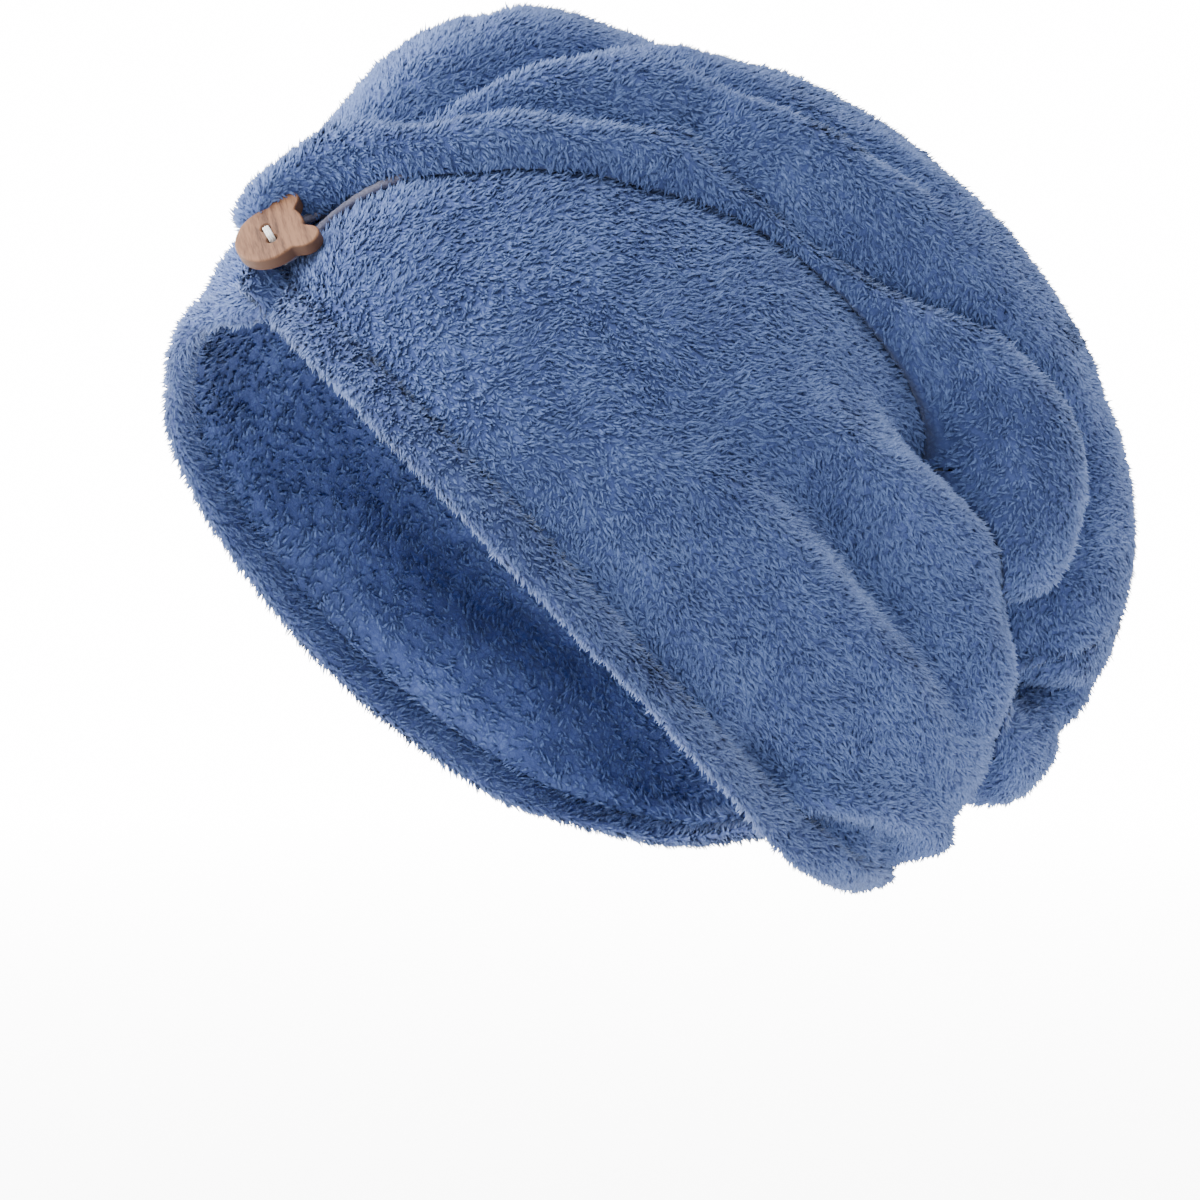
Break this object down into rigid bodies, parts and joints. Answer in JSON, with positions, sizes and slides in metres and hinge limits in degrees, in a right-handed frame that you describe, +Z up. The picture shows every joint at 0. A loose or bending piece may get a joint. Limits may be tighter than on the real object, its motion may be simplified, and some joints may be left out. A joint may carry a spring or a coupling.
{
  "type": "hair turban towel",
  "caption": "Plush fleece hair turban in its worn shape: hollow for the head, twisted tail brought forward over the crown and hooked by an elastic loop on a wooden bear button.",
  "frame": {"origin": "crown: the highest point of the hollow's inner surface, where the head carries the turban", "axes": "+Z up as worn, -Y the way the face looks, +X the wearer's left; the opening slopes down from the forehead to the nape"},
  "size_m": [0.164, 0.2104, 0.1918],
  "materials": {
    "fleece": "plush fleece pile, matt",
    "hem_fleece": "plush fleece pile, turned and stitched",
    "elastic": "covered elastic cord, matt",
    "wood": "smooth, dull varnish",
    "thread": "cotton thread, matt"
  },
  "bodies": {
    "root": {"near_panel": "fleece", "far_panel": "fleece", "near_hem": "hem_fleece", "far_hem": "hem_fleece", "tail": "fleece", "elastic_loop": "elastic", "bear_button": "wood", "button_thread": "thread"}
  },
  "joints": []
}
